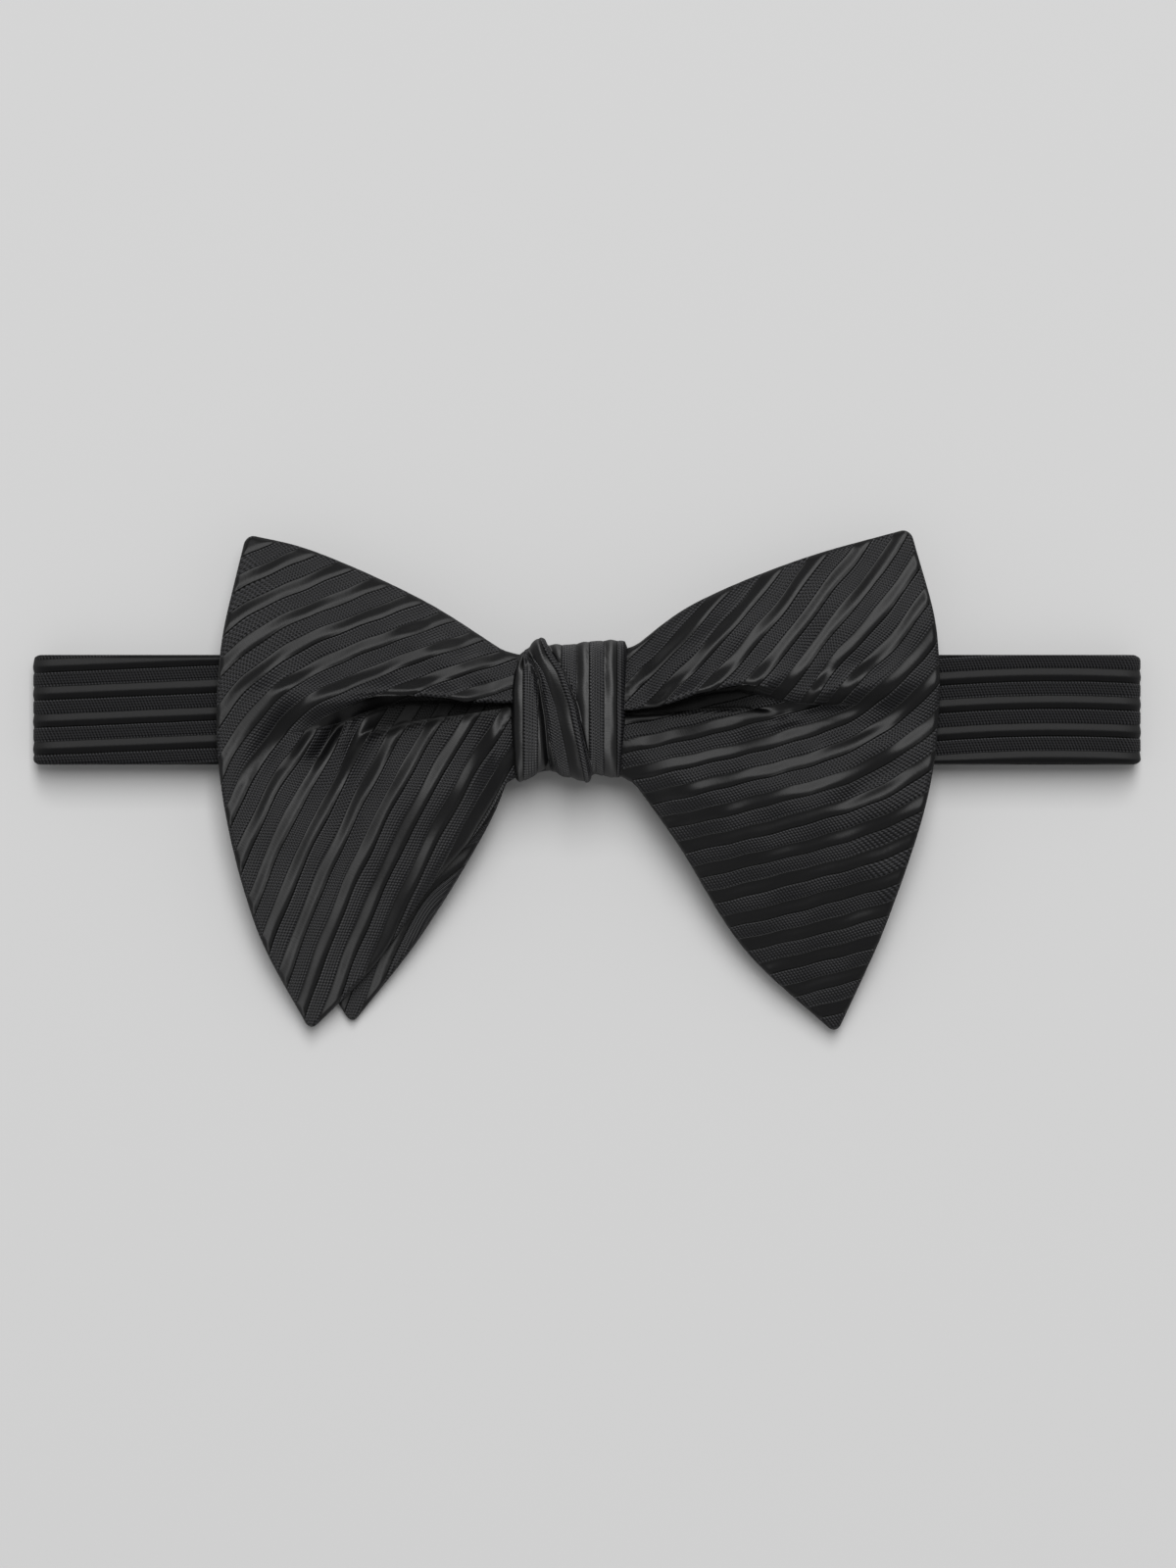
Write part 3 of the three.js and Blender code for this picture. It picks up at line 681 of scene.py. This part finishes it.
def tube_mesh(name, path, thick=BAND_THICK, swell=0.24, tip=None):
    """A flattened tube of cloth along a route of (x, z), open at both ends, and its length. tip is
    the (x, radius) at which its corners are rounded off."""
    q = route(path)
    tangent = np.gradient(q, axis=0)
    tangent /= np.linalg.norm(tangent, axis=1, keepdims=True)
    normal = np.stack([-tangent[:, 1], tangent[:, 0]], axis=1)
    length = np.concatenate([[0], np.cumsum(np.linalg.norm(np.diff(q, axis=0), axis=1))])
    half, r = BAND_WIDTH / 2, thick / 2
    many, few = 72, 6           # points over a flat side and round an edge
    flat = np.linspace(-(half - r), half - r, many)
    a = np.linspace(-math.pi / 2, math.pi / 2, few + 2)[1:-1]
    y = np.concatenate([flat, half - r + r * np.cos(a), flat[::-1], -(half - r) - r * np.cos(a)])
    h = np.concatenate([np.full(many, -1.0), np.sin(a), np.full(many, 1.0), -np.sin(a)])
    Y = np.repeat(y[None], len(q), axis=0)
    if tip is not None:
        end, corner = tip
        d = np.clip(np.abs(q[:, 0] - end), 0, corner)
        cut = corner - np.sqrt(corner ** 2 - (corner - d) ** 2)
        Y = Y * (1 - cut / half)[:, None]
    shown = np.where(h > 0, 1.0, -1.0)
    across = band_stripes(q[:, :1], Y + BAND_Y)
    across = np.where(shown > 0, across, -across + 1.3)
    H = h[None] * (r - swell) + shown * ribs(across, swell, 0.5) * np.abs(h) ** 0.5
    x = q[:, :1] + normal[:, :1] * H
    z = q[:, 1:] + normal[:, 1:] * H
    p = np.dstack([x, Y + BAND_Y, z])
    n, m = p.shape[:2]
    faces = grid_faces(n, m, closed=True, flip=True)
    weave = np.dstack([np.repeat(length[:, None], m, axis=1), across]).reshape(-1, 2)
    piece = make_mesh(name, p.reshape(-1, 3), faces, weave)
    return thicken(piece, CLOTH), float(length[-1])


def strap(name, body, path, replaced, tip=None, thick=BAND_THICK, swell=0.24, core=True):
    """A tube of cloth and the interlining in it. body is a name, or (a, b, start, end), which is not
    used: such a piece is given no body and keeps its place baked into its mesh.
    """
    cloth, length = tube_mesh(f"{name}_cloth", path, thick, swell, tip)
    made = [cloth]
    if core:
        q = route(path)
        tangent = np.gradient(q, axis=0)
        tangent /= np.linalg.norm(tangent, axis=1, keepdims=True)
        w = BAND_WIDTH / 2 - 1.2
        ys = np.linspace(-w, w, 12)
        grids = []
        for off in (-0.25, 0.25):
            x = q[:, :1] - tangent[:, 1:] * off + 0 * ys
            z = q[:, 1:] + tangent[:, :1] * off + 0 * ys
            grids.append(np.dstack([x, np.repeat(ys[None] + BAND_Y, len(q), axis=0), z]))
        made.append(slab_mesh(f"{name}_lining", *grids))
    for piece, suffix, slot in zip(made, ("", "_interlining"), ("band_cloth", "interlining")):
        if isinstance(body, str):
            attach(piece, body)
        else:
            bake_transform(piece)
        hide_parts(*[f"{node}{suffix}" for node in replaced])
    print(name, "length", round(length, 1), "mm, faces", len(cloth.data.polygons))
    return made


def at(x, z):
    return (x, BAND_Y, z)


LEFT_HINGE, RIGHT_HINGE = FOLD_LEFT - HINGE_OUT, FOLD_RIGHT + HINGE_OUT
left_band = strap(
    "left_band", ("bow", "left_leg", at(LEFT_HINGE, BLEND_TOP), at(LEFT_HINGE, BLEND_LOW)),
    [(-91.0, LOWER_Z), *half_turn(FOLD_LEFT, FOLD_Z, FOLD_RADIUS, -1), (-0.5, UPPER_Z)],
    ["left_upper_strap", "left_fold"], tip=(-101.9, 1.9))
left_leg = strap(
    "left_leg_strap", "left_leg",
    [(10.8, RETURN_Z), *half_turn(HOOK_X, TURN_Z, TURN_RADIUS, 1)[::-1],
     (-83.6, STRAP_Z), (-90.6, LOWER_Z), (-91.0, LOWER_Z)],
    ["left_strap"])
back_run = strap(
    "return_strap", ("left_leg", "slider", at(10.7, RETURN_Z), at(-35.7, RETURN_Z)),
    [(-35.7, RETURN_Z), (10.8, RETURN_Z)],
    ["return_strap"])
loop = strap(
    "slider_loop", "slider",
    [(-37, 3.6), (SLIDER_X, 3.6), *half_turn(SLIDER_X, 4.7, 1.1, -1)[1:], (-36, 5.8)],
    ["slider_strap_end"], thick=0.8, swell=0.15, core=False)
right_band = strap(
    "right_band", ("bow", "right_leg", at(RIGHT_HINGE, BLEND_TOP), at(RIGHT_HINGE, BLEND_LOW)),
    [(0.5, UPPER_Z), (FOLD_RIGHT, UPPER_Z),
     *half_turn(FOLD_RIGHT, FOLD_Z, FOLD_RADIUS, 1)[::-1][1:], (64.0, LOWER_Z)],
    ["right_upper_strap", "right_fold"], tip=(108.5, 1.9))
right_leg = strap(
    "right_leg_strap", "right_leg",
    [(64.0, LOWER_Z), (62, LOWER_Z), (52, STRAP_Z), (EYE_X, STRAP_Z),
     *half_turn(EYE_X, TURN_Z, TURN_RADIUS, -1)[1:], (48, RETURN_Z)],
    ["right_strap"])


# %% [markdown]
# ## Areas of the cloth pieces
# The area of each cloth piece is printed. A blade's cut is larger than its finished wings, because
# cloth is gathered up at its waist. The knot's strip goes once round and laps behind.

# %% Facts of the cloth pieces
def area_of(piece):
    """Area of a thick piece of cloth in square metres: half of its surface, one side of it."""
    return sum(face.area for face in piece.data.polygons) / 2


CM2 = 10000                     # square centimetres in a square metre
for parts, wide, cut in ((front, 0.150, 0.0105), (rear, 0.146, 0.0088)):
    for piece in parts:
        print(piece.name, "area, cm2:", round(area_of(piece) * CM2, 1))
# the knot's strip is a single surface, so all of it counts
print("knot area, cm2:", round(2 * area_of(knot) * CM2, 1))


# %% [markdown]
# ## Materials
# Black neckwear cloth is usually a silk or a silk-like jacquard: one set of threads, woven two ways.
# In the satin stripe the threads float across it side by side, so it is smooth and gives back light
# as brushed metal does: the gloss is drawn out along the stripe, and a stripe is bright only where
# it points towards the light. That is anisotropy, one number on the shader, with its direction taken
# from the U of the Weave map. In the twill stripe the threads bind often, so it is duller and shows
# fine slanting lines. Each shader is made with one helper that adds any node. A value that is the
# same all over is typed into its socket, and the rest is linked.

# %% Helpers for shaders
def srgb(code):
    """A colour given as a hex string, in the linear values that a shader wants."""
    value = [int(code[i:i + 2], 16) / 255 for i in (0, 2, 4)]
    return [*[c / 12.92 if c <= 0.04045 else ((c + 0.055) / 1.055) ** 2.4 for c in value], 1.0]


def add_node(tree, kind, links=(), stops=(), **settings):
    """Adds a shader node. links maps its inputs to a node, a node's output or a plain value, and
    stops are the (place, colour or grey) of a colour ramp."""
    node = tree.nodes.new(kind)
    for key, value in settings.items():
        setattr(node, key, value)
    for socket, source in dict(links).items():
        if isinstance(source, bpy.types.Node):
            source = source.outputs[0]
        if isinstance(source, bpy.types.NodeSocket):
            tree.links.new(source, node.inputs[socket])
        else:
            node.inputs[socket].default_value = source
    elements = node.color_ramp.elements if stops else []
    while len(elements) < len(stops):
        elements.new(0.5)
    for element, (place, value) in zip(elements, stops):
        element.position = place
        element.color = srgb(value) if isinstance(value, str) else (value, value, value, 1)
    return node


def empty_material(name):
    material = bpy.data.materials.new(name)
    material.use_nodes = True
    material.node_tree.nodes.clear()
    return material, material.node_tree


# %% [markdown]
# ### Striped silk jacquard
# The stripe repeats every 5.2 mm, measured across the Weave map. Its colours, from one groove to the
# next: a near-black satin, a touch lighter towards its first groove; the groove, painted darker as
# shade; a thin pale edge, a painted highlight where the twill's first thread catches the light; the
# twill; and the other painted pale edge and groove. The twill lines are 0.6 mm apart, a little
# coarser than the real 0.4 mm so that they still show. To the eye the cloth is black on black:
# silvery streaks that come and go beside matt bands. The three finishes are copies of one cloth: the
# knot's copy is painted lighter and the neckband's painted darker, and they differ in gloss too, the
# knot's the glossiest and the neckband's the dullest. A point attribute says how deep in a crease the
# cloth lies; there the colour is darkened as painted shade, and the cloth made rougher, because the
# real cloth shades itself more finely than this mesh can.

# %% The cloth
TWILL_PITCH, THREAD_PITCH = 0.6, 0.5       # mm


def striped_cloth(name, gloss, dye_and_painted_tone):
    material, tree = empty_material(name)
    weave = add_node(tree, "ShaderNodeUVMap", uv_map="Weave")
    split = add_node(tree, "ShaderNodeSeparateXYZ", {0: weave})
    along_stripe, across_stripe = split.outputs["X"], split.outputs["Y"]
    # a stripe's edges wander by a tenth of a millimetre, as woven ones do
    uneven = add_node(tree, "ShaderNodeTexNoise", {"Vector": weave, "Scale": 0.22, "Detail": 3.0})
    wander = add_node(tree, "ShaderNodeMath", {0: uneven, 1: 0.2, 2: -0.1}, operation="MULTIPLY_ADD")
    place = add_node(tree, "ShaderNodeMath", {0: across_stripe, 1: wander}, operation="ADD")
    repeats = add_node(tree, "ShaderNodeMath", {0: place, 1: 1 / PERIOD}, operation="MULTIPLY")
    phase = add_node(tree, "ShaderNodeMath", {0: repeats}, operation="FRACT")
    # colour across one repeat, with painted shade in its grooves and painted highlights on the
    # twill's edges, and where the satin is
    stripe_colour_with_painted_edges = add_node(tree, "ShaderNodeValToRGB", {0: phase}, stops=[
        (0.0, "030303"), (0.025, "080808"), (0.06, "0d0d0e"), (0.44, "0b0b0c"), (0.48, "040404"),
        (0.505, "38383a"), (0.535, dye_and_painted_tone), (0.94, dye_and_painted_tone), (0.965, "38383a"), (0.99, "040404")])
    satin = add_node(tree, "ShaderNodeValToRGB", {0: phase},
                     stops=[(0.0, 0.0), (0.03, 1.0), (0.47, 1.0), (0.5, 0.0)])
    # the twill's slanting lines, broken up by the threads that cross them
    slant = add_node(tree, "ShaderNodeMath", {0: across_stripe, 1: 0.42, 2: along_stripe},
                     operation="MULTIPLY_ADD")
    turns = add_node(tree, "ShaderNodeMath", {0: slant, 1: 2 * math.pi / TWILL_PITCH},
                     operation="MULTIPLY")
    line = add_node(tree, "ShaderNodeMath", {0: turns}, operation="SINE")
    crossing = add_node(tree, "ShaderNodeMath", {0: across_stripe, 1: 2 * math.pi / THREAD_PITCH},
                        operation="MULTIPLY")
    cross = add_node(tree, "ShaderNodeMath", {0: crossing}, operation="SINE")
    knots = add_node(tree, "ShaderNodeMath", {0: cross, 1: 0.35, 2: line}, operation="MULTIPLY_ADD")
    in_twill = add_node(tree, "ShaderNodeMath", {0: 1.0, 1: satin}, operation="SUBTRACT")
    thread = add_node(tree, "ShaderNodeMath", {0: knots, 1: in_twill}, operation="MULTIPLY")
    # the satin's long floats, as streaks across the stripe
    stretched = add_node(tree, "ShaderNodeVectorMath", {0: weave, 1: (5.0, 0.5, 1.0)},
                         operation="MULTIPLY")
    floats = add_node(tree, "ShaderNodeTexNoise", {"Vector": stretched, "Scale": 1.0, "Detail": 2.0})
    grain = add_node(tree, "ShaderNodeMath", {0: floats, 1: satin}, operation="MULTIPLY")
    twill_shade = add_node(tree, "ShaderNodeMath", {0: thread, 1: 0.95, 2: 1.0},
                           operation="MULTIPLY_ADD")
    both_shade = add_node(tree, "ShaderNodeMath", {0: satin, 1: -0.25, 2: twill_shade},
                          operation="MULTIPLY_ADD")
    shade = add_node(tree, "ShaderNodeMath", {0: grain, 1: 0.5, 2: both_shade},
                     operation="MULTIPLY_ADD")
    # painted shade: deep in a fold the colour is darkened, and the cloth there is made rougher
    fold = add_node(tree, "ShaderNodeAttribute", attribute_name="PaintedCreaseShade").outputs["Fac"]
    unshaded_share = add_node(tree, "ShaderNodeMath", {0: fold, 1: -0.9, 2: 1.0},
                          operation="MULTIPLY_ADD")
    tone_with_painted_crease_shade = add_node(tree, "ShaderNodeMath", {0: shade, 1: unshaded_share}, operation="MULTIPLY")
    colour = add_node(tree, "ShaderNodeVectorMath", {0: stripe_colour_with_painted_edges, "Scale": tone_with_painted_crease_shade}, operation="SCALE")
    gloss_here = add_node(tree, "ShaderNodeMapRange", {"Value": satin, "To Min": 0.6, "To Max": 0.5})
    rough = add_node(tree, "ShaderNodeMath", {0: gloss_here, 1: fold}, operation="MAXIMUM")
    # relief too fine for the mesh: the grooves' lips and the threads, 0.22 mm deep at most
    groove = add_node(tree, "ShaderNodeValToRGB", {0: phase}, stops=[
        (0.0, 0.0), (0.035, 0.8), (0.47, 0.7), (0.49, 0.0), (0.52, 1.0), (0.55, 0.85), (0.94, 0.85),
        (0.97, 1.0), (1.0, 0.0)])
    groove.color_ramp.interpolation = "EASE"
    threads = add_node(tree, "ShaderNodeMath", {0: thread, 1: 0.45, 2: groove},
                       operation="MULTIPLY_ADD")
    height = add_node(tree, "ShaderNodeMath", {0: grain, 1: 0.3, 2: threads},
                      operation="MULTIPLY_ADD")
    bump = add_node(tree, "ShaderNodeBump", {"Height": height, "Strength": 0.7, "Distance": 0.00022})
    tangent = add_node(tree, "ShaderNodeTangent", direction_type="UV_MAP", uv_map="Weave")
    shader = add_node(tree, "ShaderNodeBsdfPrincipled", {
        "Base Color": colour, "Roughness": rough, "Normal": bump, "Tangent": tangent,
        "Anisotropic": 0.92, "IOR": 1.45, "Specular IOR Level": gloss})
    add_node(tree, "ShaderNodeOutputMaterial", {"Surface": shader})
    print(name, "nodes:", len(tree.nodes))
    return material


# one cloth in three copies: the knot's has a paler colour, painted light, and the neckband's a darker
# one, painted shade; their gloss differs too
blade_silk = striped_cloth("silk_jacquard_satin_and_twill", 0.58, "19191b")
band_silk_painted_darker = striped_cloth("silk_jacquard_painted_darker", 0.32, "141416")
knot_silk_painted_lighter = striped_cloth("silk_jacquard_painted_lighter", 0.72, "1c1c1e")

# %% [markdown]
# ### Interlining
# Brushed wool canvas, cream and quite matt: soft fuzz a millimetre across over threads drawn about
# 0.75 mm apart, as in a coarse canvas. Only its edges would ever show, as a pale line inside the
# cloth. The knot's wadding has the same finish.

# %% Brushed wool interlining
wool, tree = empty_material("brushed_wool_interlining")
where = add_node(tree, "ShaderNodeTexCoord").outputs["Object"]
fuzz = add_node(tree, "ShaderNodeTexNoise", {"Vector": where, "Scale": 900.0, "Detail": 4.0})
warp = add_node(tree, "ShaderNodeTexWave", {"Vector": where, "Scale": 420.0, "Distortion": 1.5})
nap = add_node(tree, "ShaderNodeMath", {0: warp.outputs["Fac"], 1: 0.4, 2: fuzz},
               operation="MULTIPLY_ADD")
cream = add_node(tree, "ShaderNodeValToRGB", {0: nap}, stops=[(0.2, "8d877a"), (0.9, "d6d0c2")])
bump = add_node(tree, "ShaderNodeBump", {"Height": nap, "Strength": 0.6, "Distance": 0.0002})
shader = add_node(tree, "ShaderNodeBsdfPrincipled",
                  {"Base Color": cream, "Normal": bump, "Roughness": 0.95})
add_node(tree, "ShaderNodeOutputMaterial", {"Surface": shader})

# %% [markdown]
# ### Sewing thread
# Black spun polyester, three plies twisted together. The twist is drawn as slanting bands a little
# under 1 mm apart, coarser than the real 0.3 mm so that it shows, and the thread reads as a tiny
# rope with a slight sheen, not as wire.

# %% Spun polyester thread
thread, tree = empty_material("spun_polyester_thread")
where = add_node(tree, "ShaderNodeTexCoord").outputs["Object"]
ply = add_node(tree, "ShaderNodeTexWave", {"Vector": where, "Scale": 700.0, "Distortion": 0.6},
               bands_direction="DIAGONAL").outputs["Fac"]
black = add_node(tree, "ShaderNodeValToRGB", {0: ply}, stops=[(0.1, "060606"), (0.9, "1f1f21")])
bump = add_node(tree, "ShaderNodeBump", {"Height": ply, "Strength": 0.9, "Distance": 0.00015})
shader = add_node(tree, "ShaderNodeBsdfPrincipled",
                  {"Base Color": black, "Normal": bump, "Roughness": 0.55})
add_node(tree, "ShaderNodeOutputMaterial", {"Surface": shader})

# %% [markdown]
# ### Hook, eye and slider
# Steel strip, stamped, plated with nickel and tumbled, so it has a warm soft shine. Its tone drifts
# over a few millimetres, and rolling lines 0.4 mm apart, coarser than real ones so that they show,
# streak the gloss. The CAD shapes stay. Their edges are deburred, which a small bevel gives.

# %% Nickel-plated steel
nickel, tree = empty_material("nickel_plated_steel")
where = add_node(tree, "ShaderNodeTexCoord").outputs["Object"]
wear = add_node(tree, "ShaderNodeTexNoise", {"Vector": where, "Scale": 260.0, "Detail": 5.0})
rolled = add_node(tree, "ShaderNodeVectorMath", {0: where, 1: (60.0, 2500.0, 60.0)},
                  operation="MULTIPLY")
scratch = add_node(tree, "ShaderNodeTexNoise", {"Vector": rolled, "Scale": 1.0})
plate = add_node(tree, "ShaderNodeValToRGB", {0: wear}, stops=[(0.35, "b7b2a8"), (0.65, "cfcbc2")])
rough = add_node(tree, "ShaderNodeMapRange", {"Value": scratch, "To Min": 0.2, "To Max": 0.38})
bump = add_node(tree, "ShaderNodeBump", {"Height": scratch, "Strength": 0.2, "Distance": 0.00005})
shader = add_node(tree, "ShaderNodeBsdfPrincipled", {
    "Base Color": plate, "Roughness": rough, "Normal": bump, "Metallic": 1.0})
add_node(tree, "ShaderNodeOutputMaterial", {"Surface": shader})

# %% Each piece gets its finish
straps = (left_band, left_leg, back_run, loop, right_band, right_leg)
finishes = [(blade_silk, [front[0], front[1], rear[0], rear[1]]), (knot_silk_painted_lighter, [knot]),
            (band_silk_painted_darker, [strap_pieces[0] for strap_pieces in straps]),
            (wool, [front[2], rear[2], wadding, *[layer for s in straps for layer in s[1:]]]),
            (thread, [seam, *[frame["nodes"][name] for name in
                              ("waist_thread", "slider_bar_tack", "right_bar_tack")]]),
            (nickel, [frame["nodes"][name] for name in ("hook", "eye", "slider_frame")])]
for finish, pieces in finishes:
    for piece in pieces:
        piece.data.materials.clear()
        piece.data.materials.append(finish)
    print(finish.name, "on", len(pieces), "pieces")
for name in ("hook", "eye", "slider_frame"):
    edge = frame["nodes"][name].modifiers.new("Deburred edges", "BEVEL")
    edge.width, edge.segments, edge.limit_method = 0.0002, 2, "ANGLE"

# %% [markdown]
# ## Floor, light and camera
# The tie lies on a pale board and is seen from straight above. The light is one long soft strip that
# reaches from overhead to far behind the board, so shadows fall towards the viewer and hardly at all
# to the sides, and stripes that point at the strip shine most.

# %% Board
lowest = min((piece.matrix_world @ Vector(corner)).z for piece in bpy.data.objects
             if piece.type == "MESH" and not piece.hide_render for corner in piece.bound_box)
print("lowest point of the tie, mm:", round(lowest * 1000, 2))
CLEARANCE = 0.00002             # m, so that the board cuts nothing
top = lowest - CLEARANCE
board_mesh = bpy.data.meshes.new("board")
board_mesh.from_pydata([(-2, -2, top), (2, -2, top), (2, 2, top), (-2, 2, top)], [], [(0, 1, 2, 3)])
board = bpy.data.objects.new("board", board_mesh)
bpy.context.scene.collection.objects.link(board)

# matt pale card, with nothing on it that could draw the eye
card, tree = empty_material("matt_pale_card")
shader = add_node(tree, "ShaderNodeBsdfPrincipled", {"Base Color": srgb("d6d6d6"), "Roughness": 0.9})
add_node(tree, "ShaderNodeOutputMaterial", {"Surface": shader})
board_mesh.materials.append(card)

# %% Light
# a weak even fill, and the strip: 2.2 m wide, 5 m long, level, 5 m up and 3 m behind the board
studio = bpy.data.worlds.new("studio")
studio.use_nodes = True
studio.node_tree.nodes.clear()
fill = add_node(studio.node_tree, "ShaderNodeBackground", {"Color": srgb("ffffff"), "Strength": 0.29})
add_node(studio.node_tree, "ShaderNodeOutputWorld", {"Surface": fill})
bpy.context.scene.world = studio
strip = bpy.data.lights.new("strip_softbox", "AREA")
strip.shape, strip.size, strip.size_y, strip.energy = "RECTANGLE", 2.2, 5.0, 302
lamp = bpy.data.objects.new("strip_softbox", strip)
lamp.location = (0.3, 3.0, 5.0)
bpy.context.scene.collection.objects.link(lamp)

# %% Camera
# a long lens a metre above the middle, so the tie is seen with hardly any perspective
middle = (cad_low + cad_high) / 2
lens = bpy.data.cameras.new("camera")
lens.lens = 120.4
camera = bpy.data.objects.new("camera", lens)
camera.location = (middle.x + 0.0002, middle.y - 0.0005, 1.0)
bpy.context.scene.collection.objects.link(camera)
bpy.context.scene.camera = camera
bpy.context.scene.view_settings.view_transform = "Standard"
